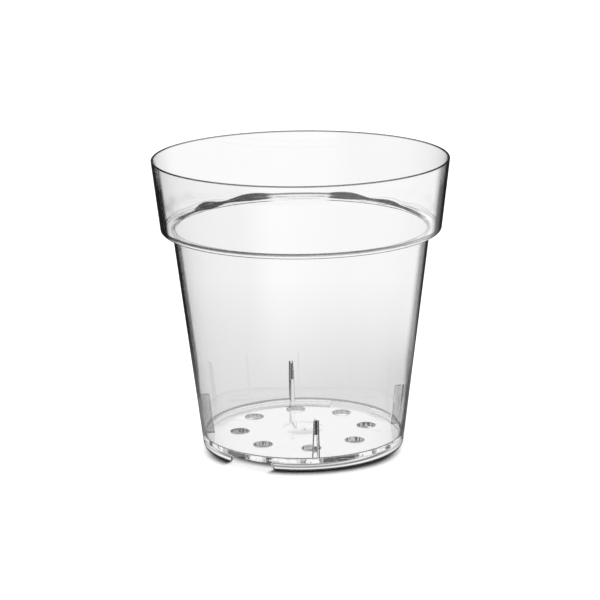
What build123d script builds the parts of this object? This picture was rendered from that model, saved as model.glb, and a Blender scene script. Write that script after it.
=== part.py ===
from build123d import *
import math
import os

# Clear orchid pot: one thin moulding, written as the members that make it up.
# Millimetres and degrees. The axis is Z, the foot stands on Z = 0, two ribs lie on X and two on Y.

# Driving dimensions: overall form
rim_diameter = 130.0
pot_height = 128.7
base_diameter = 89.5
collar_height = 31.5
collar_taper = 6.5
ledge_width = 5.0

# Driving dimensions: wall thicknesses
wall_thickness = 1.3
rim_thickness = 1.05
ledge_thickness = 1.3
floor_thickness = 2.1
foot_thickness = 1.5

# Driving dimensions: roundings of the moulding
rim_round = 0.45
rim_flat = 0.08
ledge_edge_round = 1.0
ledge_mouth_round = 0.9
under_ledge_fillet = 0.8
collar_root_fillet = 1.3
floor_fillet = 0.8

# Driving dimensions: floor and its drain holes
foot_height = 3.2
drain_hole_count = 8
drain_hole_diameter = 8.2
drain_ring_diameter = 57.0
gate_disc_diameter = 21.0
gate_dome_rise = 0.9
gate_nub_diameter = 2.4
gate_nub_height = 0.8

# Driving dimensions: ribs that keep stacked pots apart
rib_count = 4
rib_height = 18.1
rib_depth = 4.4
rib_root_thickness = 2.0
rib_top_thickness = 0.9
rib_tip_height = 7.5
rib_tip_angle = 50.0
rib_wall_gap = 0.1

# Driving dimensions: drainage notches through the foot
notch_count = 2
notch_width = 22.2
notch_end_slope = 19.0
notch_first_angle = 52.0

# Heights worked out from the driving dimensions
floor_under = foot_height
floor_top = floor_under + floor_thickness
wall_bottom = floor_top + floor_fillet
rib_top = floor_top + rib_height
ledge_under = pot_height - collar_height
ledge_top = ledge_under + ledge_thickness
wall_top = ledge_under - under_ledge_fillet
collar_bottom = ledge_top + collar_root_fillet


def collar_outer(z):
    """Outer radius of the collar at height z."""
    return rim_diameter / 2 - (pot_height - z) * math.tan(math.radians(collar_taper))


def collar_inner(z):
    """Inner radius of the collar, whose wall thins towards the rim."""
    share = (z - ledge_top) / (pot_height - ledge_top)
    return collar_outer(z) - wall_thickness - (rim_thickness - wall_thickness) * share


def body_outer(z):
    """Outer radius of the tapered body at height z, from the base to the underside of the ledge."""
    top_radius = collar_outer(ledge_under) - ledge_width
    return base_diameter / 2 + (top_radius - base_diameter / 2) * z / ledge_under


def body_inner(z):
    """Inner radius of the tapered body at height z."""
    return body_outer(z) - wall_thickness


def turned(outline, rounds=(), arc=360.0):
    """Solid turned about Z from a closed outline of (radius, height) points, with rounded corners."""
    face = make_face(Polyline(*outline, close=True))
    for corner, radius in rounds:
        face = fillet(face.vertices().sort_by_distance(corner)[0], radius)
    return revolve(Plane.XZ * face, Axis.Z, revolution_arc=arc)


def radial_prism(bottom_width, top_width, z_bottom, z_top, reach):
    """Trapezoid bar along X from the axis to a reach, for what runs radially through the pot."""
    outline = Polyline(
        (-bottom_width / 2, z_bottom),
        (bottom_width / 2, z_bottom),
        (top_width / 2, z_top),
        (-top_width / 2, z_top),
        close=True,
    )
    return extrude(Plane.YZ * make_face(outline), reach)


def make_collar():
    """Tall conical collar between the shoulder and the rim."""
    rim_outer = (collar_outer(pot_height), pot_height)
    rim_inner = (collar_inner(pot_height), pot_height)
    outline = [
        (collar_inner(collar_bottom), collar_bottom),
        (collar_outer(collar_bottom), collar_bottom),
        rim_outer,
        rim_inner,
    ]
    edge_round = min(rim_round, (rim_thickness - rim_flat) / 2)
    return turned(outline, [(rim_outer, edge_round), (rim_inner, edge_round)])


def make_shoulder_ledge():
    """Stepped ring that carries the wider collar, with the collar's root and the body's neck."""
    outer_edge = (collar_outer(ledge_under), ledge_under)
    under_corner = (body_outer(ledge_under), ledge_under)
    mouth_edge = (body_inner(ledge_top), ledge_top)
    collar_root = (collar_inner(ledge_top), ledge_top)
    outline = [
        (collar_inner(collar_bottom), collar_bottom),
        (collar_outer(collar_bottom), collar_bottom),
        outer_edge,
        under_corner,
        (body_outer(wall_top), wall_top),
        (body_inner(wall_top), wall_top),
        mouth_edge,
        collar_root,
    ]
    rounds = [
        (outer_edge, ledge_edge_round),
        (under_corner, under_ledge_fillet),
        (mouth_edge, ledge_mouth_round),
        (collar_root, collar_root_fillet),
    ]
    return turned(outline, rounds)


def make_body_wall():
    """Conical wall from the floor's rim up to the shoulder."""
    outline = [
        (body_inner(wall_bottom), wall_bottom),
        (body_outer(wall_bottom), wall_bottom),
        (body_outer(wall_top), wall_top),
        (body_inner(wall_top), wall_top),
    ]
    return turned(outline)


def make_floor_plate():
    """Floor with a rounded corner to the wall, a ring of drain holes and the gate disc's opening."""
    floor_corner = (body_inner(floor_top), floor_top)
    outline = [
        (gate_disc_diameter / 2, floor_under),
        (body_outer(floor_under), floor_under),
        (body_outer(wall_bottom), wall_bottom),
        (body_inner(wall_bottom), wall_bottom),
        floor_corner,
        (gate_disc_diameter / 2, floor_top),
    ]
    plate = turned(outline, [(floor_corner, floor_fillet)])
    drill = Pos(0, 0, floor_under) * Cylinder(
        drain_hole_diameter / 2,
        floor_thickness,
        align=(Align.CENTER, Align.CENTER, Align.MIN),
    )
    for place in PolarLocations(drain_ring_diameter / 2, drain_hole_count):
        plate -= place * drill
    return plate


def make_gate_disc():
    """Low dome in the middle of the floor, with the stub left where the plastic was let in."""
    radius = gate_disc_diameter / 2
    chord_middle = math.cos(math.radians(45))
    dome_radius = (radius**2 + gate_dome_rise**2) / (2 * gate_dome_rise)

    def dome_height(r):
        return gate_dome_rise - dome_radius + math.sqrt(dome_radius**2 - r**2)

    def dome_arc(z):
        middle = radius * chord_middle
        return ThreePointArc((0, z + dome_height(0)), (middle, z + dome_height(middle)), (radius, z))

    outline = [
        dome_arc(floor_under),
        Line((radius, floor_under), (radius, floor_top)),
        dome_arc(floor_top),
        Line((0, floor_top + gate_dome_rise), (0, floor_under + gate_dome_rise)),
    ]
    dome = revolve(Plane.XZ * make_face(outline), Axis.Z)
    nub_base = floor_under + gate_dome_rise - gate_nub_height
    nub = Pos(0, 0, nub_base) * Cylinder(
        gate_nub_diameter / 2,
        gate_nub_height + floor_thickness / 2,
        align=(Align.CENTER, Align.CENTER, Align.MIN),
    )
    return dome + nub


def make_rib_tip_cut():
    """What is cut from the top of a blade on the X axis, for a sharp nose that leans with the wall."""
    low = rib_top - rib_tip_height
    lean = (body_inner(rib_top) - body_inner(low)) / rib_tip_height
    nose, wall = body_inner(low) - rib_depth, body_outer(rib_top)
    spread = (wall - nose) * math.tan(math.radians(rib_tip_angle / 2))
    plan = make_face(Polyline((nose, 0), (wall, spread), (wall, -spread), close=True))
    knife = extrude(Pos(0, 0, low) * plan, rib_tip_height * math.hypot(1, lean), dir=(lean, 0, 1))
    block = Pos(nose, 0, low) * Box(
        2 * rib_depth,
        2 * spread,
        rib_tip_height,
        align=(Align.CENTER, Align.CENTER, Align.MIN),
    )
    return block - knife


def make_stacking_ribs(floor_plate):
    """Radial blades in the corner of wall and floor, thinner at the top, that carry the next pot."""
    root, top = floor_top, rib_top
    blade = radial_prism(rib_root_thickness, rib_top_thickness, root, top, body_outer(top))
    seat = turned(
        [
            (body_inner(root) - rib_depth, root),
            (body_inner(root) - rib_wall_gap, root),
            (body_inner(top) - rib_wall_gap, top),
            (body_inner(top) - rib_depth, top),
        ]
    )
    rib = (blade & seat) - make_rib_tip_cut()
    step = 360 / rib_count
    return [Rot(0, 0, step * i) * rib - floor_plate for i in range(rib_count)]


def make_foot_arcs():
    """Lengths of foot ring under the floor's edge, parted by the drainage notches."""
    inner = base_diameter / 2 - foot_thickness
    outline = [
        (inner, 0),
        (body_outer(0), 0),
        (body_outer(foot_height), foot_height),
        (inner, foot_height),
    ]
    narrowing = 2 * foot_height * math.tan(math.radians(notch_end_slope))
    notch = radial_prism(notch_width, notch_width - narrowing, 0, foot_height, base_diameter)
    step = 360 / notch_count
    sector = turned(outline, arc=step)
    arc = sector - notch - Rot(0, 0, step) * notch
    return [Rot(0, 0, notch_first_angle + step * i) * arc for i in range(notch_count)]


floor_plate = make_floor_plate()
nodes = {
    "collar": make_collar(),
    "shoulder_ledge": make_shoulder_ledge(),
    "body_wall": make_body_wall(),
    "floor_plate": floor_plate,
    "gate_disc": make_gate_disc(),
}
for number, rib in enumerate(make_stacking_ribs(floor_plate), start=1):
    nodes[f"stacking_rib_{number}"] = rib
for number, foot_arc in enumerate(make_foot_arcs(), start=1):
    nodes[f"foot_arc_{number}"] = foot_arc

os.makedirs("parts", exist_ok=True)
for name, solid in nodes.items():
    export_step(solid, f"parts/{name}.step")
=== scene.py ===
import math

import bmesh
import bpy
from mathutils import Matrix, Vector


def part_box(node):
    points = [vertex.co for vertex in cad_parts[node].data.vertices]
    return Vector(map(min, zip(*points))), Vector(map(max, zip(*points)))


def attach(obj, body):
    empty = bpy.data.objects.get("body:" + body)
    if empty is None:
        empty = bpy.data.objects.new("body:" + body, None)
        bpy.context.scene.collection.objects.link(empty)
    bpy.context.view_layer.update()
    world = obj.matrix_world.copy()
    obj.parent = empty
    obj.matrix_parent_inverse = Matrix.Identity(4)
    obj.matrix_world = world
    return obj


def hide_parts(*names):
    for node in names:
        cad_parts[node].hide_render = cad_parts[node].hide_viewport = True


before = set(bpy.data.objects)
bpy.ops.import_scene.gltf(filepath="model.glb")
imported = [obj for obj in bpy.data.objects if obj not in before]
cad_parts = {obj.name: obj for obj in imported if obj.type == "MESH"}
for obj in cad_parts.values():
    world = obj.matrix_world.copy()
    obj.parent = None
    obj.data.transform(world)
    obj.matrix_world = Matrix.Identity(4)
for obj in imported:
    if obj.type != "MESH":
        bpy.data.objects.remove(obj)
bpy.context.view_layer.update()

# Turned shell: the pot is one injection moulding of clear, colourless plastic, with walls just over a
# millimetre thick. Body, shoulder, collar, floor and foot ring are one skin turned about the pot's axis, with
# the corners rounded as the mould was.
MM = 0.001
TURN = 2 * math.pi
POT_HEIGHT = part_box("collar")[1].z
FLOOR_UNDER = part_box("floor_plate")[0].z
FLOOR_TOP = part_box("stacking_rib_1")[0].z
RIM_RADIUS = 65.0 * MM
RIM_WALL = 1.05 * MM
RIM_ROUND = 0.45 * MM
WALL = 1.3 * MM
BASE_RADIUS = 44.75 * MM
FLOOR_FILLET = 0.8 * MM
FOOT_WALL = 1.5 * MM
FOOT_EDGE = 0.5 * MM
FOOT_INNER_EDGE = 0.12 * MM
FOOT_FILLET = 0.15 * MM
COLLAR_DROP = 31.5 * MM
COLLAR_SLOPE = math.tan(math.radians(6.5))
COLLAR_FILLET = 1.3 * MM
LEDGE_WIDTH = 5.0 * MM
LEDGE_WALL = 1.3 * MM
LEDGE_EDGE = 1.0 * MM
LEDGE_FILLET = 0.8 * MM
MOUTH_EDGE = 0.5 * MM
GATE_RADIUS = 10.5 * MM
GATE_RISE = 0.9 * MM
DOME_STEPS = 8
STUB_RADIUS = 1.2 * MM
STUB_LENGTH = 0.8 * MM
STUB_EDGE = 0.2 * MM
STUB_FILLET = 0.15 * MM
WAVE_COUNT = 12
WAVE_CROWDING = 1.36
WAVE_SKEW = 1.5
WAVE_DEPTH = 0.35 * MM
WAVE_START = math.radians(83.2)
SEGMENTS = 288
ARC_STEPS = 7
WELD = 0.001 * MM
LEDGE_UNDER = POT_HEIGHT - COLLAR_DROP
LEDGE_TOP = LEDGE_UNDER + LEDGE_WALL
LEDGE_RADIUS = RIM_RADIUS - COLLAR_DROP * COLLAR_SLOPE
BODY_SLOPE = (LEDGE_RADIUS - LEDGE_WIDTH - BASE_RADIUS) / LEDGE_UNDER


class Wire:
    """A node socket that takes part in sums: each operator adds a Math node to the socket's tree."""

    def __init__(self, tree, socket):
        self.tree = tree
        self.socket = socket

    def make(self, kind, settings=None, values=None, out=0):
        """Adds a node of any kind to the tree, with its settings first, and gives one of its outputs."""
        node = self.tree.nodes.new(kind)
        for key, value in (settings or {}).items():
            setattr(node, key, value)
        for key, value in (values or {}).items():
            for one in value if isinstance(value, list) else [value]:
                if isinstance(one, Wire):
                    self.tree.links.new(one.socket, node.inputs[key])
                else:
                    node.inputs[key].default_value = one
        return Wire(self.tree, node.outputs[out])

    def also(self, out):
        """Another output of the node that this wire leaves."""
        return Wire(self.tree, self.socket.node.outputs[out])

    def math(self, operation, *values):
        return self.make("ShaderNodeMath", {"operation": operation}, dict(enumerate(values)))

    def __abs__(self):
        return self.math("ABSOLUTE", self)

    def __add__(self, other):
        return self.math("ADD", self, other)

    def __radd__(self, other):
        return self.math("ADD", other, self)

    def __sub__(self, other):
        return self.math("SUBTRACT", self, other)

    def __rsub__(self, other):
        return self.math("SUBTRACT", other, self)

    def __mul__(self, other):
        return self.math("MULTIPLY", self, other)

    def __rmul__(self, other):
        return self.math("MULTIPLY", other, self)

    def __truediv__(self, other):
        return self.math("DIVIDE", self, other)

    def __rtruediv__(self, other):
        return self.math("DIVIDE", other, self)

    def __gt__(self, other):
        return self.math("GREATER_THAN", self, other)

    def __lt__(self, other):
        return self.math("LESS_THAN", self, other)


def geometry_tree(name, sizes):
    """A Geometry Nodes tree with one geometry in and out, and named inputs for its sizes."""
    tree = bpy.data.node_groups.new(name, "GeometryNodeTree")
    tree.interface.new_socket("Geometry", in_out="INPUT", socket_type="NodeSocketGeometry")
    tree.interface.new_socket("Geometry", in_out="OUTPUT", socket_type="NodeSocketGeometry")
    for label, kind in sizes.items():
        tree.interface.new_socket(label, in_out="INPUT", socket_type=kind)
    inside = tree.nodes.new("NodeGroupInput")
    wires = {socket.name: Wire(tree, socket) for socket in inside.outputs if socket.name}
    return tree, wires


def keep_mesh(obj, modifier):
    """Turns what a modifier makes of an object into the object's own mesh."""
    graph = bpy.context.evaluated_depsgraph_get()
    mesh = bpy.data.meshes.new_from_object(obj.evaluated_get(graph))
    obj.modifiers.remove(modifier)
    obj.data = mesh


def run_tree(obj, tree, result, sizes):
    """Ends the tree in its result, runs it on the object with these sizes, and keeps a plain mesh."""
    end = tree.nodes.new("NodeGroupOutput")
    tree.links.new(result.socket, end.inputs[0])
    modifier = obj.modifiers.new(tree.name, "NODES")
    modifier.node_group = tree
    for item in tree.interface.items_tree:
        if item.in_out == "INPUT" and item.name in sizes:
            modifier[item.identifier] = sizes[item.name]
    keep_mesh(obj, modifier)


def new_object(name, mesh):
    obj = bpy.data.objects.new(name, mesh)
    bpy.context.scene.collection.objects.link(obj)
    return obj


def collar_outer(z):
    return RIM_RADIUS - (POT_HEIGHT - z) * COLLAR_SLOPE


def body_outer(z):
    return BASE_RADIUS + z * BODY_SLOPE


def dome_height(r):
    """Height of the low dome in the middle of the floor above the floor's plane."""
    ball = (GATE_RADIUS**2 + GATE_RISE**2) / (2 * GATE_RISE)
    return GATE_RISE - ball + math.sqrt(ball**2 - r**2)


def shoulder_wave(along):
    """Nought to one, six times round half the shoulder, for an angle from the middle of the waves."""
    side = along.math("SINE", along)
    phase = WAVE_COUNT * along - WAVE_CROWDING * along.math("SINE", 4 * along) + WAVE_SKEW * side * side
    return 0.5 - 0.5 * along.math("COSINE", phase)


COLLAR_ROOT = collar_outer(LEDGE_TOP) - WALL
MOUTH_RADIUS = body_outer(LEDGE_TOP) - WALL
FLOOR_RADIUS = body_outer(FLOOR_TOP) - WALL
FOOT_INNER = BASE_RADIUS - FOOT_WALL

# Half of the pot's section, from the stub under the floor, up the outside and down the inside. Each corner
# has its radius, height and rounding, and the shoulder's inner edge is where the plastic sank in waves.
dome_radii = [GATE_RADIUS * i / DOME_STEPS for i in range(2, DOME_STEPS + 1)]
stub_end = FLOOR_UNDER + GATE_RISE - STUB_LENGTH
mouth = (MOUTH_RADIUS, LEDGE_TOP, MOUTH_EDGE)
section = [
    (0.0, stub_end, 0.0),
    (STUB_RADIUS, stub_end, STUB_EDGE),
    (STUB_RADIUS, FLOOR_UNDER + dome_height(STUB_RADIUS), STUB_FILLET),
    *[(r, FLOOR_UNDER + dome_height(r), 0.0) for r in dome_radii],
    (FOOT_INNER, FLOOR_UNDER, FOOT_FILLET),
    (FOOT_INNER, 0.0, FOOT_INNER_EDGE),
    (BASE_RADIUS, 0.0, FOOT_EDGE),
    (body_outer(LEDGE_UNDER), LEDGE_UNDER, LEDGE_FILLET),
    (LEDGE_RADIUS, LEDGE_UNDER, LEDGE_EDGE),
    (RIM_RADIUS, POT_HEIGHT, RIM_ROUND),
    (RIM_RADIUS - RIM_WALL, POT_HEIGHT, RIM_ROUND),
    (COLLAR_ROOT, LEDGE_TOP, COLLAR_FILLET),
    mouth,
    (FLOOR_RADIUS, FLOOR_TOP, FLOOR_FILLET),
    *[(r, FLOOR_TOP + dome_height(r), 0.0) for r in reversed(dome_radii)],
    (0.0, FLOOR_TOP + GATE_RISE, 0.0),
]
outline = bpy.data.meshes.new("section")
outline.from_pydata(
    [(r, 0.0, z) for r, z, _ in section],
    [(i, i + 1) for i in range(len(section) - 1)],
    [],
)
rounding = outline.attributes.new("rounding", "FLOAT", "POINT")
rounding.data.foreach_set("value", [radius for _, _, radius in section])
sunk = outline.attributes.new("sunk", "FLOAT", "POINT")
sunk.data.foreach_set("value", [float(corner is mouth) for corner in section])
shell = new_object("shell", outline)

tree, sizes = geometry_tree(
    "turned_shell",
    {
        "Segments": "NodeSocketInt",
        "Arc Steps": "NodeSocketInt",
        "Wave Depth": "NodeSocketFloat",
        "Wave Start": "NodeSocketFloat",
    },
)
start = sizes["Geometry"]
radius = start.make("GeometryNodeInputNamedAttribute", {"data_type": "FLOAT"}, {"Name": "rounding"})
half = start.make("GeometryNodeMeshToCurve", {}, {"Mesh": start})
half = start.make(
    "GeometryNodeFilletCurve",
    {"mode": "POLY"},
    {"Curve": half, "Count": sizes["Arc Steps"], "Radius": radius},
)
points = start.make("GeometryNodeAttributeDomainSize", {"component": "CURVE"}, {"Geometry": half})
grid = start.make(
    "GeometryNodeMeshGrid",
    {},
    {"Vertices X": sizes["Segments"] + 1, "Vertices Y": points},
)
index = start.make("GeometryNodeInputIndex")
column = start.math("FLOOR", (index + 0.5) / points)
place = start.make("GeometryNodeInputPosition")
sunk_share = start.make("GeometryNodeInputNamedAttribute", {"data_type": "FLOAT"}, {"Name": "sunk"})
point = start.make(
    "GeometryNodeSampleIndex",
    {"data_type": "FLOAT_VECTOR", "domain": "POINT"},
    {"Geometry": half, "Value": place, "Index": index - column * points},
)
sunk_here = start.make(
    "GeometryNodeSampleIndex",
    {"data_type": "FLOAT", "domain": "POINT"},
    {"Geometry": half, "Value": sunk_share, "Index": index - column * points},
)
angle = column * TURN / sizes["Segments"]
along = sizes["Wave Start"] - angle
wave = shoulder_wave(along)
far_side = start.make("ShaderNodeClamp", {}, {"Value": 0.5 + start.math("COSINE", along)})
drop = start.make("ShaderNodeCombineXYZ", {}, {"Z": wave * far_side * sunk_here * sizes["Wave Depth"]})
point = start.make("ShaderNodeVectorMath", {"operation": "SUBTRACT"}, {0: point, 1: drop})
turned = start.make(
    "ShaderNodeVectorRotate",
    {"rotation_type": "Z_AXIS"},
    {"Vector": point, "Angle": angle},
)
grid = start.make("GeometryNodeSetPosition", {}, {"Geometry": grid, "Position": turned})
grid = start.make("GeometryNodeMergeByDistance", {}, {"Geometry": grid, "Distance": WELD})
run_tree(
    shell,
    tree,
    grid,
    {"Segments": SEGMENTS, "Arc Steps": ARC_STEPS, "Wave Depth": WAVE_DEPTH, "Wave Start": WAVE_START},
)

# Stacking ribs: four short blades in the corner of wall and floor, of the same shot as the wall. They are
# thinner at the top so that the mould lets go, with a knife-sharp nose there, and the next pot of a stack
# stands on them.
RIB_COUNT = 4
RIB_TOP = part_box("stacking_rib_1")[1].z
RIB_DEPTH = 4.4 * MM
RIB_ROOT = 2.0 * MM
RIB_TIP = 0.9 * MM
RIB_ROUND = 0.25 * MM
RIB_FILLET = 0.9 * MM
RIB_SINK = 0.6 * MM
ROUND_STEPS = 5
ROUND_TURN = math.radians(22.5)
KNIFE_HEIGHT = 7.5 * MM
KNIFE_SLOPE = math.tan(math.radians(25.0))
KNIFE_TAPER = 0.23
KNIFE_STEP = 0.1 * MM
TIP_HEIGHT = 0.15 * MM
TIP_INSET = 0.1 * MM
KNIFE_BOTTOM = RIB_TOP - KNIFE_HEIGHT


def blade_ring(z, inset, knife):
    """One level of a blade on the X axis, from its rounded root in the wall to a flat or sharp nose."""
    share = (z - FLOOR_TOP) / (RIB_TOP - FLOOR_TOP)
    half_width = (RIB_ROOT + (RIB_TIP - RIB_ROOT) * share) / 2 - inset
    wall = body_outer(z) - WALL
    inner = wall - RIB_DEPTH + inset
    root = [(wall + RIB_SINK, half_width + RIB_FILLET)]
    nose = []
    for i in range(ROUND_STEPS):
        back = 1 - math.cos(ROUND_TURN * i)
        out = 1 - math.sin(ROUND_TURN * i)
        root.append((wall - RIB_FILLET * back, half_width + RIB_FILLET * out))
        if knife:
            y = half_width * (1 - KNIFE_TAPER * i)
            nose.append((inner + y / KNIFE_SLOPE, y))
        else:
            nose.append((inner + RIB_ROUND * out, half_width - RIB_ROUND * back))
    side = [*root, *nose]
    return [(x, y, z) for x, y in side] + [(x, -y, z) for x, y in reversed(side)]


def stacked_rings(name, rings):
    """A closed object skinned over rings of points, from the first to the last."""
    body = bmesh.new()
    levels = [[body.verts.new(p) for p in ring] for ring in rings]
    for low, high in zip(levels, levels[1:]):
        for i in range(len(low)):
            j = (i + 1) % len(low)
            body.faces.new((low[i], low[j], high[j], high[i]))
    body.faces.new(levels[0][::-1])
    body.faces.new(levels[-1])
    bmesh.ops.recalc_face_normals(body, faces=body.faces)
    mesh = bpy.data.meshes.new(name)
    body.to_mesh(mesh)
    body.free()
    return new_object(name, mesh)


def ring_tree(name):
    """A tree that repeats its geometry round the pot's axis, starting at an angle."""
    tree, sizes = geometry_tree(name, {"Count": "NodeSocketInt", "First Angle": "NodeSocketFloat"})
    start = sizes["Geometry"]
    spots = start.make(
        "GeometryNodeMeshLine",
        {},
        {"Count": sizes["Count"], "Offset": (0.0, 0.0, 0.0)},
    )
    index = start.make("GeometryNodeInputIndex")
    angle = sizes["First Angle"] + index * TURN / sizes["Count"]
    turn = start.make("ShaderNodeCombineXYZ", {}, {"Z": angle})
    copies = start.make(
        "GeometryNodeInstanceOnPoints",
        {},
        {"Points": spots, "Instance": start, "Rotation": turn},
    )
    return tree, start.make("GeometryNodeRealizeInstances", {}, {"Geometry": copies})


blade_rings = [
    blade_ring(FLOOR_TOP - RIB_SINK, 0.0, False),
    blade_ring(KNIFE_BOTTOM - KNIFE_STEP, 0.0, False),
    blade_ring(KNIFE_BOTTOM, 0.0, True),
    blade_ring(RIB_TOP - TIP_HEIGHT, 0.0, True),
    blade_ring(RIB_TOP, TIP_INSET, True),
]
ribs = stacked_rings("ribs", blade_rings)
run_tree(ribs, *ring_tree("ring_of_ribs"), {"Count": RIB_COUNT, "First Angle": 0.0})

# Drain holes: a ring of eight round holes through the floor, left by pins in the mould. The pins were turned
# on a lathe and dragged a little, so the holes have softened edges and fine upright marks.
HOLE_COUNT = 8
HOLE_RADIUS = 4.1 * MM
HOLE_RING = 28.5 * MM
HOLE_EDGE = 0.3 * MM
HOLE_MARKS = 13
MARK_DEPTH = 0.04 * MM
HOLE_SIDES = 104
PIN_REACH = 2.0 * MM


def pin_ring(z, flare):
    """One level of a pin that leaves a drain hole, with its upright marks where it isn't flared."""
    ring = []
    for i in range(HOLE_SIDES):
        turn = TURN * i / HOLE_SIDES
        mark = MARK_DEPTH * (math.sin(HOLE_MARKS * turn) + math.sin(2 * HOLE_MARKS * turn + turn)) / 2
        r = HOLE_RADIUS + flare + mark * (flare == 0.0)
        ring.append((HOLE_RING + r * math.cos(turn), r * math.sin(turn), z))
    return ring


# Height past each face of the floor, and how much wider the pin is there
PIN_STEPS = [
    (-PIN_REACH, HOLE_EDGE),
    (0.0, HOLE_EDGE),
    (HOLE_EDGE / 3, HOLE_EDGE / 3),
    (HOLE_EDGE, 0.0),
]
pin_levels = [(FLOOR_UNDER + step, flare) for step, flare in PIN_STEPS]
pin_levels += [(FLOOR_TOP - step, flare) for step, flare in reversed(PIN_STEPS)]
drills = stacked_rings("drills", [pin_ring(z, flare) for z, flare in pin_levels])
run_tree(drills, *ring_tree("ring_of_drills"), {"Count": HOLE_COUNT, "First Angle": 0.0})

# Ejector marks: four faint round dints in the floor, between the drain holes and a little further out. Round
# pins left them when they pushed the finished pot off the mould.
EJECTOR_COUNT = 4
EJECTOR_FIRST = math.radians(67.5)
EJECTOR_RING = 31.5 * MM
EJECTOR_RADIUS = 4.3 * MM
EJECTOR_DRAFT = 0.2 * MM
EJECTOR_DEPTH = 0.06 * MM
EJECTOR_LENGTH = 2.0 * MM
EJECTOR_SIDES = 64

ejector = bmesh.new()
bmesh.ops.create_cone(
    ejector,
    cap_ends=True,
    segments=EJECTOR_SIDES,
    radius1=EJECTOR_RADIUS,
    radius2=EJECTOR_RADIUS + EJECTOR_DRAFT,
    depth=EJECTOR_LENGTH,
    matrix=Matrix.Translation((EJECTOR_RING, 0.0, FLOOR_TOP - EJECTOR_DEPTH + EJECTOR_LENGTH / 2)),
)
ejector_mesh = bpy.data.meshes.new("ejectors")
ejector.to_mesh(ejector_mesh)
ejector.free()
ejectors = new_object("ejectors", ejector_mesh)
run_tree(ejectors, *ring_tree("ring_of_ejectors"), {"Count": EJECTOR_COUNT, "First Angle": EJECTOR_FIRST})

# Foot notches: two gaps through the foot ring, with sloping ends, left by blocks in the mould. Through them
# water runs out from under the pot.
NOTCH_COUNT = 2
NOTCH_FIRST = math.radians(52.0)
NOTCH_WIDTH = 22.2 * MM
NOTCH_SLOPE = math.tan(math.radians(19.0))
BLOCK_BELOW = 1.0 * MM
BLOCK_INSIDE = 4.25 * MM
BLOCK_OUTSIDE = 3.0 * MM


def block_end(r):
    """One end of the block that keeps a notch free, at a radius on the X axis."""
    low = NOTCH_WIDTH / 2 + BLOCK_BELOW * NOTCH_SLOPE
    high = NOTCH_WIDTH / 2 - FLOOR_UNDER * NOTCH_SLOPE
    return [
        (r, -low, -BLOCK_BELOW),
        (r, low, -BLOCK_BELOW),
        (r, high, FLOOR_UNDER),
        (r, -high, FLOOR_UNDER),
    ]


block_ends = [block_end(BASE_RADIUS - BLOCK_INSIDE), block_end(BASE_RADIUS + BLOCK_OUTSIDE)]
blocks = stacked_rings("blocks", block_ends)
run_tree(blocks, *ring_tree("ring_of_blocks"), {"Count": NOTCH_COUNT, "First Angle": NOTCH_FIRST})

# Finished moulding: shell and ribs flow together in the mould, and pins and blocks keep the holes and notches
# free, so the pot is one clear piece with no seam inside. The plastic is water-clear with a mirror gloss, and
# duller on the ribs' sides, in the holes and at the back of the underside.
PLASTIC_IOR = 1.5
CREASE = math.radians(32)
CLEAR = (1.0, 1.0, 1.0, 1.0)
# Tints for painted shade and painted dark lines; the first also greys the ribs' matt sides
MATT_AND_SHADE_TINT = (0.55, 0.555, 0.558, 1.0)
CORNER_TINT = (0.25, 0.255, 0.26, 1.0)
RIM_TINT = (0.12, 0.122, 0.124, 1.0)
EDGE_TINT = (0.1, 0.102, 0.103, 1.0)
LINE_TINT = (0.015, 0.0155, 0.016, 1.0)
DARK_TINT = (0.003, 0.0031, 0.0032, 1.0)
UPRIGHT = 0.4
SKIN = 0.05 * MM


def soft_step(value, low, high):
    """Nought to one as a value runs from low to high, with soft ends."""
    return value.make(
        "ShaderNodeMapRange",
        {"interpolation_type": "SMOOTHSTEP"},
        {"Value": value, "From Min": low, "From Max": high, "To Min": 0.0, "To Max": 1.0},
    )


def blend(factor, first, second):
    """A colour between two others."""
    return factor.make("ShaderNodeMix", {"data_type": "RGBA"}, {0: factor, 6: first, 7: second}, out=2)


def strongest(*masks):
    """The greatest of several masks at each place."""
    result = masks[0]
    for mask in masks[1:]:
        result = result.math("MAXIMUM", result, mask)
    return result


def length(first, second):
    """Length of a flat vector."""
    return first.math("SQRT", first * first + second * second)


def noise(place, scale, detail, roughness):
    """An even random pattern."""
    return place.make(
        "ShaderNodeTexNoise",
        {},
        {"Vector": place, "Scale": scale, "Detail": detail, "Roughness": roughness},
    )


plastic = bpy.data.materials.new("clear_plastic")
plastic.use_nodes = True
shader = plastic.node_tree.nodes["Principled BSDF"]
shader.inputs["Transmission Weight"].default_value = 1.0
shader.inputs["IOR"].default_value = PLASTIC_IOR
facing = Wire(plastic.node_tree, None).make("ShaderNodeLayerWeight", {}, {"Blend": 0.5}, out="Facing")
spot = facing.make("ShaderNodeTexCoord", out="Object")
x = facing.make("ShaderNodeSeparateXYZ", {}, {"Vector": spot}, out="X")
y = x.also("Y")
z = x.also("Z")
radius = length(x, y)
turn = x.math("ARCTAN2", y, x)
normal = facing.make("ShaderNodeNewGeometry", out="Normal")
from_outside = 1 - normal.also("Backfacing")
face_side = 1 - 2 * normal.also("Backfacing")
normal_x = facing.make("ShaderNodeSeparateXYZ", {}, {"Vector": normal}, out="X")
backward = face_side * normal_x.also("Y")
upward = face_side * normal_x.also("Z")
outward = face_side * (normal_x * x + normal_x.also("Y") * y) / radius
upright = abs(upward) < UPRIGHT


def near_ring(ring_radius, ring_height, reach):
    """One close to a ring round the pot's axis, fading to nought at its reach."""
    return soft_step(length(radius - ring_radius, z - ring_height), reach, 0.5 * reach)
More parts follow.
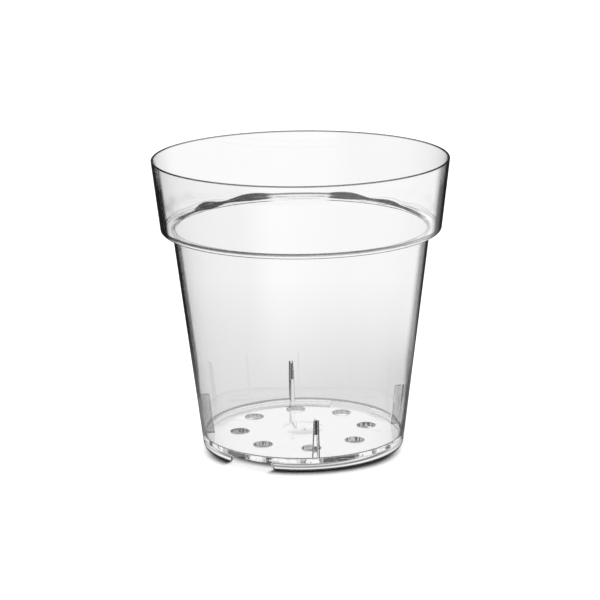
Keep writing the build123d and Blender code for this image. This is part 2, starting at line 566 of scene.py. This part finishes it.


# Walls are painted darker where they are seen along their length: painted shade for the dark surround that
# clear plastic shows edge on. Facing is nought where a wall is seen squarely and one where it is seen edge
# on.
# The painted dark strip is softer on the right half, narrower near the floor and only a thin line beside the
# left rib, and the collar's is the darkest.
LEFT_HALF = (10 * MM, -10 * MM)
LOW_WALL = (45 * MM, 20 * MM)
EDGE_FACING = 0.6
EDGE_FADE = 0.12
LEFT_SHIFT = 0.06
LOW_SHIFT = 0.08
WALL_FOOT = (FLOOR_TOP - 0.6 * MM, FLOOR_TOP + 0.2 * MM)
RIB_STRIP = 24 * MM
RIB_STRIP_TOP = (RIB_TOP + 1.0 * MM, RIB_TOP)
RIB_STRIP_FOOT = (FLOOR_TOP - 1.0 * MM, FLOOR_TOP)
THIN_FACING = (0.84, 0.9)
COLLAR_FACING = (0.68, 0.73)
COLLAR_FOOT = (LEDGE_TOP - 1.0 * MM, LEDGE_TOP + 1.0 * MM)
COLLAR_TOP = (127 * MM, 118 * MM)

outer_wall = upright * (outward > 0.0)
left_half = soft_step(x, *LEFT_HALF)
edge_start = EDGE_FACING + LEFT_SHIFT * left_half + LOW_SHIFT * soft_step(z, *LOW_WALL)
edge_end = edge_start + EDGE_FADE - LEFT_SHIFT * left_half
wall_edge = soft_step(facing, edge_start, edge_end) * outer_wall * soft_step(z, *WALL_FOOT)
by_rib = (abs(y) < RIB_STRIP) * (x < 0.0)
by_rib = by_rib * soft_step(z, *RIB_STRIP_TOP) * soft_step(z, *RIB_STRIP_FOOT)
thin_edge = soft_step(facing, *THIN_FACING) * outer_wall
collar_edge = soft_step(facing, *COLLAR_FACING) * outer_wall
collar_edge = collar_edge * soft_step(z, *COLLAR_FOOT) * soft_step(z, *COLLAR_TOP)
colour = blend(wall_edge * (1 - by_rib), CLEAR, EDGE_TINT)
colour = blend(thin_edge * by_rib, colour, LINE_TINT)
colour = blend(collar_edge, colour, DARK_TINT)

# Painted shade: the rim, the corner of wall and floor, and the foot are painted as dark lines, the corner
# most on the front half, and the foot's bottom edge is painted near black.
RIM_LINE = (POT_HEIGHT - 0.7 * MM, POT_HEIGHT - 0.4 * MM)
CORNER_REACH = 0.9 * MM
FOOT_LINE_HEIGHT = 2.35 * MM
FOOT_LINE = (0.5 * MM, 0.2 * MM)
FOOT_LINE_SHARE = 0.6
FOOT_BOTTOM = (1.1 * MM, 0.75 * MM)
FOOT_OUTSIDE = 0.2

rim = soft_step(z, *RIM_LINE)
floor_corner = near_ring(FLOOR_RADIUS, FLOOR_TOP, CORNER_REACH)
foot_outside = outward > FOOT_OUTSIDE
foot_line = FOOT_LINE_SHARE * soft_step(abs(z - FOOT_LINE_HEIGHT), *FOOT_LINE) * foot_outside
foot_bottom = soft_step(z, *FOOT_BOTTOM) * foot_outside
colour = blend(floor_corner, colour, CORNER_TINT)
colour = blend(strongest(rim, foot_line), colour, RIM_TINT)
colour = blend(floor_corner * (y < 0.0), colour, LINE_TINT)
colour = blend(foot_bottom, colour, DARK_TINT)

# Along the far half of the shoulder the plastic sank in waves. A dark band is painted over them, painted
# shade that swells at each wave and runs from the collar's root to the mouth's edge at the sides, with a
# faint painted echo above it. Elsewhere the root and the mouth are painted as dark lines, painted shade too.
# Angles are from the middle of the waves, depths from just above the root.
DEPTH_START = LEDGE_TOP + 1.4 * MM
DEPTH_ACROSS = 0.25
BAND_DEPTH = 1.55 * MM
BAND_DRIFT = 1.3 * MM
BAND_LIFT = 0.4 * MM
BAND_HALF = 0.65 * MM
BAND_SWELL = 1.2 * MM
BAND_BLUR = (-0.15 * MM, 0.15 * MM)
BAND_LUMPS = (0.4, 0.7)
BAND_BEGIN = (0.34, 0.44)
BAND_END = (1.5, 1.3)
DRIFT_ANGLES = (0.35, 1.2)
SIDE_ANGLES = (0.8, 1.1)
SIDE_NARROWING = 0.3
SIDE_SWELL_LOSS = 0.85
RIGHT_ANGLES = (0.5, 0.65)
RIGHT_SWELL_LOSS = 0.75
STREAKS_ROUND = 9.0
STREAK_DEPTH = 0.9 * MM
STREAK_RANGE = (0.64, 0.54)
STREAK_SHARE = 0.04
ECHO_DEPTH = 0.4 * MM
ECHO_LIFT = 0.6 * MM
ECHO_LINE = (0.5 * MM, 0.15 * MM)
ECHO_SHARE = 0.3
ECHO_BEGIN = (0.55, 0.75)
ECHO_END = (1.45, 1.2)
NEAR_ANGLES = (1.3, 1.5)
ROOT_LINE_ANGLES = (0.52, 0.42)
ROOT_LINE_DEPTH = 0.6 * MM
ROOT_LINE_RANGE = (0.6 * MM, 0.3 * MM)
ROOT_LINE_SHARE = 0.96
LIP_INSET = 0.2 * MM
LIP_REACH = 0.75 * MM
LIP_SHARE = 0.9
SHOULDER_BOTTOM = LEDGE_UNDER + 0.2 * MM
SHOULDER_TOP = LEDGE_TOP + 4.0 * MM
SLOPE_MIDDLE = 57 * MM

along = WAVE_START - turn
wave = shoulder_wave(along)
from_middle = abs(along)
at_sides = soft_step(from_middle, *SIDE_ANGLES)
depth = (DEPTH_START - z) + DEPTH_ACROSS * (COLLAR_ROOT - radius)
swelling = BAND_SWELL * wave * (1 - RIGHT_SWELL_LOSS * soft_step(along, *RIGHT_ANGLES))
half_band = BAND_HALF * (1 - SIDE_NARROWING * at_sides) + swelling * (1 - SIDE_SWELL_LOSS * at_sides)
band_depth = BAND_DEPTH + BAND_DRIFT * soft_step(from_middle, *DRIFT_ANGLES)
off_band = abs(depth - band_depth + BAND_LIFT * wave * (1 - at_sides))
band = soft_step(half_band - off_band, *BAND_BLUR)
band = band * strongest(soft_step(wave, *BAND_LUMPS), soft_step(from_middle, *BAND_BEGIN))
unrolled = facing.make(
    "ShaderNodeCombineXYZ",
    {},
    {"X": STREAKS_ROUND * along, "Y": depth / STREAK_DEPTH},
)
streak = soft_step(noise(unrolled, 1.0, 2.0, 0.6), *STREAK_RANGE)
band = band * soft_step(from_middle, *BAND_END) * (1 - STREAK_SHARE + STREAK_SHARE * streak)
echo = ECHO_SHARE * soft_step(abs(depth - ECHO_DEPTH + ECHO_LIFT * wave), *ECHO_LINE)
echo = echo * soft_step(from_middle, *ECHO_BEGIN) * soft_step(from_middle, *ECHO_END)
near_half = soft_step(from_middle, *NEAR_ANGLES)
root_line_shade = ROOT_LINE_SHARE * soft_step(abs(depth - ROOT_LINE_DEPTH), *ROOT_LINE_RANGE)
root_line_shade = root_line_shade * strongest(soft_step(from_middle, *ROOT_LINE_ANGLES), near_half)
lip = LIP_SHARE * near_ring(MOUTH_RADIUS + LIP_INSET, LEDGE_TOP - LIP_INSET, LIP_REACH) * near_half
in_shoulder = (z > SHOULDER_BOTTOM) * (z < SHOULDER_TOP) * (radius < COLLAR_ROOT + 0.5 * WALL)
band = band * in_shoulder
colour = blend(strongest(echo, root_line_shade, lip) * in_shoulder, colour, LINE_TINT)
colour = blend(band, colour, DARK_TINT)
sunk_slope = band * (radius - SLOPE_MIDDLE)

# The ribs have matt, streaked sides, greyed with painted shade, and painted dark outlines. On the two ribs of
# the Y axis painted shade darkens the sharp nose and the corners of the flat nose below it, and on the front
# one the root too.
DRAG_STRETCH = (1.0, 1.0, 0.06)
DRAG_SCALE = 900.0
BLADE_HALF = 0.6 * RIB_ROOT
BLADE_START = 0.1 * MM
BLADE_SPARE = 0.5 * MM
BLADE_SIDE = 0.25
BLADE_LINE = 0.35 * MM
BLADE_LINE_SHARE = 0.7
BLADE_FACING = (0.75, 0.88)
BLADE_STREAK = (0.3, 0.6)
BLADE_STREAK_SHARE = 0.25
NOSE_FLAT = -0.93
ROOT_START = 0.02 * MM
ROOT_WALL = -0.97
ROOT_SIDE = -0.2

stretched = facing.make("ShaderNodeMapping", {}, {"Vector": spot, "Scale": DRAG_STRETCH})
drag = noise(stretched, DRAG_SCALE, 2.0, 0.5)
into_pot = BASE_RADIUS - WALL - radius + BODY_SLOPE * z
off_axes = x.math("MINIMUM", abs(x), abs(y))
on_y_axis = abs(x) < abs(y)
on_blade = (off_axes < BLADE_HALF) * (into_pot > BLADE_START) * (into_pot < RIB_DEPTH + BLADE_SPARE)
on_blade = on_blade * (z > FLOOR_TOP + SKIN) * (z < RIB_TOP + SKIN)
slanting = on_blade * (outward < -BLADE_SIDE)
sharp = slanting * (z > KNIFE_BOTTOM - SKIN)
knife = sharp * on_y_axis
blade_side = strongest(on_blade * (abs(outward) < BLADE_SIDE) * upright, sharp - knife)
blade_outline = strongest(
    into_pot > RIB_DEPTH - BLADE_LINE,
    z > RIB_TOP - BLADE_LINE,
    z < FLOOR_TOP + BLADE_LINE,
)
blade_line = strongest(blade_outline * BLADE_LINE_SHARE, soft_step(facing, *BLADE_FACING)) * blade_side
nose_corner = (slanting - sharp) * (outward > NOSE_FLAT) * on_y_axis
root = (off_axes < RIB_ROOT) * (into_pot < RIB_FILLET) * (into_pot > ROOT_START) * on_y_axis * (y < 0.0)
root = root * (outward > ROOT_WALL) * (outward < ROOT_SIDE) * (z > FLOOR_TOP) * (z < RIB_TOP)
blade_streak = 1 - BLADE_STREAK_SHARE + BLADE_STREAK_SHARE * soft_step(drag, *BLADE_STREAK)
colour = blend(blade_side * blade_streak, colour, MATT_AND_SHADE_TINT)
colour = blend(strongest(knife, blade_line, nose_corner, root), colour, DARK_TINT)

# The drain holes have painted grey edges and dark upright streaks painted over their drag marks, painted
# shade that is fainter on the back holes. The low dome in the middle of the floor is greyed with painted
# shade on its front slope and along its back edge.
HOLE_LINE = (0.3 * MM, 0.15 * MM)
HOLE_LINE_SHARE = 0.9
MARK_SHADE_RANGE = (0.48, 0.54)
MARK_SHADE_SHARE = 0.95
BACK_HOLES = (10 * MM, 18 * MM)
BACK_LOSS = 0.6
GATE_SLOPE = (-0.03, -0.12)
GATE_INSET = 0.3 * MM
GATE_REACH = 0.5 * MM
GATE_BACK = (0.4 * GATE_RADIUS, 0.8 * GATE_RADIUS)
GATE_SHARE = 0.9

hole_turn = turn - (TURN / HOLE_COUNT) * turn.math("ROUND", turn * (HOLE_COUNT / TURN))
hole_x = radius * turn.math("COSINE", hole_turn) - HOLE_RING
hole_y = radius * turn.math("SINE", hole_turn)
from_hole = length(hole_x, hole_y) - HOLE_RADIUS - 0.5 * HOLE_EDGE
hole_edge = HOLE_LINE_SHARE * soft_step(abs(from_hole), *HOLE_LINE) * from_outside
hole_edge = hole_edge * (z < FLOOR_TOP + SKIN) * (z > FLOOR_UNDER - SKIN)
hole_wall = upright * (z < FLOOR_TOP - SKIN) * (z > FLOOR_UNDER) * (radius < HOLE_RING + 2 * HOLE_RADIUS)
hole_mark_shade = MARK_SHADE_SHARE * hole_wall * from_outside * soft_step(drag, *MARK_SHADE_RANGE)
hole_mark_shade = hole_mark_shade * (1 - BACK_LOSS * soft_step(y, *BACK_HOLES))
gate_front = soft_step(backward, *GATE_SLOPE) * (radius < GATE_RADIUS) * (z > FLOOR_TOP)
gate_back = near_ring(GATE_RADIUS - GATE_INSET, FLOOR_TOP, GATE_REACH) * soft_step(y, *GATE_BACK)
colour = blend(hole_edge, colour, CORNER_TINT)
colour = blend(GATE_SHARE * strongest(gate_front, gate_back), colour, MATT_AND_SHADE_TINT)
colour = blend(hole_mark_shade, colour, LINE_TINT)
plastic.node_tree.links.new(colour.socket, shader.inputs["Base Color"])

# Gloss and relief: ribs and holes are a little dull, the underside is worn at the back, the walls have fine
# upright flow lines, and the sunk band slopes towards the pot's middle.
MATT_ROUGHNESS = 0.04
DRAG_ROUGHNESS = 0.14
UNDER_ROUGHNESS = 0.02
WORN_ROUGHNESS = 0.4
WORN_BACK = (0.0, 12 * MM)
WORN_EDGE = (34 * MM, 37 * MM)
FACING_DOWN = -0.9
GRAIN_SCALE = 900.0
FLOW_SCALE = 160.0
FLOW_DEPTH = 0.006 * MM

under = (upward < FACING_DOWN) * (z > 0.5 * FLOOR_UNDER) * (z < FLOOR_TOP) * (radius < FOOT_INNER)
worn = soft_step(y, *WORN_BACK) * soft_step(radius, *WORN_EDGE)
under_rough = under * (UNDER_ROUGHNESS + WORN_ROUGHNESS * worn) * noise(spot, GRAIN_SCALE, 3.0, 0.6)
rough = strongest(blade_side, hole_wall) * (MATT_ROUGHNESS + DRAG_ROUGHNESS * drag) + under_rough
plastic.node_tree.links.new(rough.socket, shader.inputs["Roughness"])
relief = noise(stretched, FLOW_SCALE, 2.0, 0.5) * FLOW_DEPTH + sunk_slope
ripple = facing.make("ShaderNodeBump", {}, {"Height": relief, "Strength": 1.0, "Distance": 1.0})
plastic.node_tree.links.new(ripple.socket, shader.inputs["Normal"])

tree, sizes = geometry_tree(
    "joined_moulding",
    {
        "Ribs": "NodeSocketObject",
        "Drills": "NodeSocketObject",
        "Ejectors": "NodeSocketObject",
        "Blocks": "NodeSocketObject",
        "Plastic": "NodeSocketMaterial",
    },
)
start = sizes["Geometry"]
tools = {"Ribs": ribs, "Drills": drills, "Ejectors": ejectors, "Blocks": blocks}
shapes = {
    name: start.make("GeometryNodeObjectInfo", {}, {"Object": sizes[name]}).also("Geometry")
    for name in tools
}
joined = start.make(
    "GeometryNodeMeshBoolean",
    {"operation": "UNION", "solver": "MANIFOLD"},
    {"Mesh 2": [start, shapes["Ribs"]]},
)
joined = start.make(
    "GeometryNodeMeshBoolean",
    {"operation": "DIFFERENCE", "solver": "MANIFOLD"},
    {"Mesh 1": joined, "Mesh 2": [shapes["Drills"], shapes["Ejectors"], shapes["Blocks"]]},
)
edge_angle = start.make("GeometryNodeInputMeshEdgeAngle")
for domain, smooth in (("FACE", True), ("EDGE", edge_angle < CREASE)):
    joined = start.make(
        "GeometryNodeSetShadeSmooth",
        {"domain": domain},
        {"Geometry": joined, "Shade Smooth": smooth},
    )
joined = start.make("GeometryNodeRealizeInstances", {}, {"Geometry": joined})
joined = start.make("GeometryNodeSetMaterial", {}, {"Geometry": joined, "Material": sizes["Plastic"]})
run_tree(shell, tree, joined, {**tools, "Plastic": plastic})
for tool in tools.values():
    bpy.data.objects.remove(tool)

moulding = shell
moulding.name = "pot_moulding"
weighted = moulding.modifiers.new("weighted", "WEIGHTED_NORMAL")
weighted.mode = "FACE_AREA"
weighted.keep_sharp = True
keep_mesh(moulding, weighted)
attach(moulding, "root")
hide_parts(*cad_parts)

# Studio: a white paper table in a white tent, under one broad lamp. The tent's roof is dark for the table and
# white for the pot. What the pot mirrors across one wall at most is a dark surround with white boards in
# front and on the right, and that draws the edges of clear plastic.
TABLE_SIZE = 20.0
TABLE_WHITE = (0.8, 0.8, 0.8, 1.0)
TABLE_BLACK = (0.0, 0.0, 0.0, 1.0)
TABLE_FILL = 0.8
SHADE_LEVEL = 0.78
SHADE_REACH = 0.3
LEFT_LEVEL = 0.92
LEFT_REACH = 0.15
UNDER_LEVEL = 0.97
HOLE_LEVEL = 0.3
HOLE_REACH = 34 * MM
FOOT_SHADE_RING = 37.5 * MM
FOOT_SHADE = (2.0 * MM, 0.8 * MM)
FOOT_SHADE_SHARE = 0.9
ONE_WALL = 2.5
TWO_WALLS = 4.5
NEAR_LEVEL = 0.17
NEAR_REACH = (0.09, 0.2)
FOOT_LIGHT_REACH = 41 * MM
CONTACT_REACH = 9 * MM
CONTACT_SIDE = (-0.1, 0.66, 0.74)
CONTACT_SAMPLES = 8
CONTACT_RANGE = (0.55, 0.95)
CONTACT_FRONT = (-0.3, 0.8)
CONTACT_LEFT = 0.15
CONTACT_FADE = 0.8
NOTCH_SHADE = 0.15
NOTCH_RANGE = (0.42 * NOTCH_WIDTH, 0.54 * NOTCH_WIDTH)
INNER_SHADE = 0.12
INNER_SHADE_RANGE = (38.5 * MM, 44.5 * MM)
TENT_LEFT = 0.35
TENT_RIGHT = 1.0
TENT_RANGE = (-0.8, 0.2)
TENT_TOP = (math.sin(math.radians(20)), math.sin(math.radians(26)))
TENT_LOW = (math.sin(math.radians(4)), math.sin(math.radians(10)))
ROOF = 0.02
SURROUND = 0.03
BOARDS = 0.95
BOARDS_RANGE = (-0.25, 0.5)
OVERHEAD = (0.7, 0.85)
LAMP_STRENGTH = 1.35
LAMP_SPREAD = math.radians(70)
LAMP_TILT = math.radians(-15)


def ramp(value, low, high, first, last):
    """A value that runs evenly from first to last as another runs from low to high."""
    return value.make(
        "ShaderNodeMapRange",
        {},
        {"Value": value, "From Min": low, "From Max": high, "To Min": first, "To Max": last},
    )


def between(factor, first, second):
    """A value between two others."""
    return first + factor * (second - first)


def edge_light(path):
    """One where a ray has been mirrored and has crossed one wall at most, so that it sees the surround.

    Light Path's transmission depth grows by two for each wall that a ray crosses.
    """
    return (path.also("Transmission Depth") < ONE_WALL) * (path.also("Glossy Depth") > 0.5)


def by_way_of_pot(path):
    """One where a ray has passed through the pot or been mirrored in it."""
    return path.also("Transmission Depth") + path.also("Glossy Depth") > 0.5


def mirror_level(across, back):
    """Level of table and tent in a wall that mirrors them: grey on the left, white on the right."""
    return ramp(across / length(across, back), *TENT_RANGE, TENT_LEFT, TENT_RIGHT)


def surround(across, back):
    """Level of the surround in a direction: white boards in front and on the right, dark elsewhere."""
    boards = soft_step((across - back) / length(across, back), *BOARDS_RANGE)
    return between(boards, SURROUND, BOARDS)


scene = bpy.context.scene
table_mesh = bpy.data.meshes.new("table")
table_corners = [(-1, -1), (1, -1), (1, 1), (-1, 1)]
table_mesh.from_pydata(
    [(i * TABLE_SIZE / 2, j * TABLE_SIZE / 2, 0.0) for i, j in table_corners],
    [],
    [(0, 1, 2, 3)],
)
table = new_object("table", table_mesh)

paper = bpy.data.materials.new("white_paper")
paper.use_nodes = True
paper.node_tree.nodes.clear()
paper_end = paper.node_tree.nodes.new("ShaderNodeOutputMaterial")
path = Wire(paper.node_tree, None).make("ShaderNodeLightPath", out="Is Camera Ray")
through = path.also("Transmission Depth")
mirrored = path.also("Glossy Depth") > 0.5
table_spot = path.make("ShaderNodeTexCoord", out="Object")
table_x = path.make("ShaderNodeSeparateXYZ", {}, {"Vector": table_spot}, out="X")
table_y = table_x.also("Y")
reach = length(table_x, table_y)
inside = reach < BASE_RADIUS - FOOT_WALL / 2

# What the pot shows of the table, painted into its glow: a painted soft shade round it, darker on the left,
# painted shade under the pot where it is seen through the holes and the foot, and the surround
shade = ramp(reach, BASE_RADIUS, SHADE_REACH, SHADE_LEVEL, 1.0)
shade = shade * ramp(table_x, -LEFT_REACH, LEFT_REACH, LEFT_LEVEL, 1.0)
shade = between(through > TWO_WALLS, shade, 1.0)
in_foot = soft_step(abs(reach - FOOT_SHADE_RING), *FOOT_SHADE) * FOOT_SHADE_SHARE
in_hole = strongest(reach < HOLE_REACH, in_foot) * (through < ONE_WALL)
view_level = between(inside, shade, between(in_hole, UNDER_LEVEL, HOLE_LEVEL))
view_level = between(mirrored * (1 - inside), view_level, mirror_level(table_x, table_y))
edge_level = between(soft_step(reach, *NEAR_REACH), NEAR_LEVEL, surround(table_x, table_y))
edge_level = between(reach < FOOT_LIGHT_REACH, edge_level, 1.0)
view_level = between(edge_light(path), view_level, edge_level)

# What the camera sees of the table: white paper, with a dark contact shadow where the foot stands on it, from
# occlusion shaped by painted shade that keeps it to the front and weak at the notches, and painted shade
# under the pot.
open_sky = path.make(
    "ShaderNodeAmbientOcclusion",
    {"samples": CONTACT_SAMPLES},
    {"Distance": CONTACT_REACH, "Normal": CONTACT_SIDE},
    out="AO",
)
from_notch = abs(table_y * math.cos(NOTCH_FIRST) - table_x * math.sin(NOTCH_FIRST))
by_foot = between(soft_step(from_notch, *NOTCH_RANGE), NOTCH_SHADE, 1.0)
away = 1 - soft_step((-CONTACT_LEFT * table_x - table_y) / reach, *CONTACT_FRONT)
contact = 1 - (1 - soft_step(open_sky + CONTACT_FADE * away, *CONTACT_RANGE)) * by_foot
contact = between(inside, contact, ramp(reach, *INNER_SHADE_RANGE, INNER_SHADE, 1.0))
matt_paper = path.make("ShaderNodeBsdfDiffuse", {}, {"Color": blend(contact, TABLE_BLACK, TABLE_WHITE)})
glow = path.make("ShaderNodeEmission", {}, {"Color": path * contact * TABLE_FILL})
lit = path.make("ShaderNodeAddShader", {}, {0: matt_paper, 1: glow})
pot_view = path.make("ShaderNodeEmission", {}, {"Color": view_level})
both = path.make("ShaderNodeMixShader", {}, {0: by_way_of_pot(path), 1: lit, 2: pot_view})
paper.node_tree.links.new(both.socket, paper_end.inputs["Surface"])
table_mesh.materials.append(paper)

world = bpy.data.worlds.new("tent")
scene.world = world
world.use_nodes = True
world.node_tree.nodes.clear()
world_end = world.node_tree.nodes.new("ShaderNodeOutputWorld")
path = Wire(world.node_tree, None).make("ShaderNodeLightPath", out="Is Camera Ray")
direction = path.make("ShaderNodeTexCoord", out="Generated")
across = path.make("ShaderNodeSeparateXYZ", {}, {"Vector": direction}, out="X")
back = across.also("Y")
height = across.also("Z")
low_mirrored = (1 - soft_step(height, *TENT_LOW)) * (path.also("Glossy Depth") > 0.5)
tent = between(low_mirrored, 1.0, mirror_level(across, back))
tent = between(soft_step(height, *TENT_TOP) * (1 - by_way_of_pot(path)), tent, ROOF)
edge_level = between(soft_step(height, *OVERHEAD), surround(across, back), 1.0)
tent = between(edge_light(path), tent, edge_level)
sky = path.make("ShaderNodeBackground", {}, {"Color": strongest(tent, path)})
world.node_tree.links.new(sky.socket, world_end.inputs["Surface"])

lamp_data = bpy.data.lights.new("overhead", "SUN")
lamp_data.energy = LAMP_STRENGTH
lamp_data.angle = LAMP_SPREAD
lamp = bpy.data.objects.new("overhead", lamp_data)
lamp.rotation_euler = (LAMP_TILT, 0.0, 0.0)
lamp.visible_glossy = False
lamp.visible_transmission = False
scene.collection.objects.link(lamp)

# Camera: stands where the photograph was taken from, in front of the pot and a little above the rim, with a
# long lens. Light may cross the clear walls many times.
CAMERA_TARGET = Vector((0.0, 0.0, 64.1 * MM))
CAMERA_DISTANCE = 973.3 * MM
CAMERA_AZIMUTH = math.radians(-6.8)
CAMERA_ELEVATION = math.radians(14.55)
CAMERA_ROLL = math.radians(-0.65)
PHOTO_SIDE = 600
FOCAL_PIXELS = 2203.9
SENSOR = 36.0
OPTICAL_AXIS = (301.95, 300.49)
BOUNCES = 64

view = Vector(
    (
        -math.sin(CAMERA_AZIMUTH) * math.cos(CAMERA_ELEVATION),
        math.cos(CAMERA_AZIMUTH) * math.cos(CAMERA_ELEVATION),
        -math.sin(CAMERA_ELEVATION),
    )
)
roll = Matrix.Rotation(CAMERA_ROLL, 3, "Z").to_quaternion()
camera_data = bpy.data.cameras.new("camera")
camera_data.sensor_width = SENSOR
camera_data.lens = SENSOR * FOCAL_PIXELS / PHOTO_SIDE
camera_data.shift_x = 0.5 - OPTICAL_AXIS[0] / PHOTO_SIDE
camera_data.shift_y = OPTICAL_AXIS[1] / PHOTO_SIDE - 0.5
camera = bpy.data.objects.new("camera", camera_data)
camera.rotation_mode = "QUATERNION"
camera.location = CAMERA_TARGET - view * CAMERA_DISTANCE
camera.rotation_quaternion = view.to_track_quat("-Z", "Y") @ roll
scene.collection.objects.link(camera)
scene.camera = camera
scene.view_settings.view_transform = "Standard"
scene.cycles.max_bounces = BOUNCES
scene.cycles.transmission_bounces = BOUNCES
scene.cycles.glossy_bounces = BOUNCES
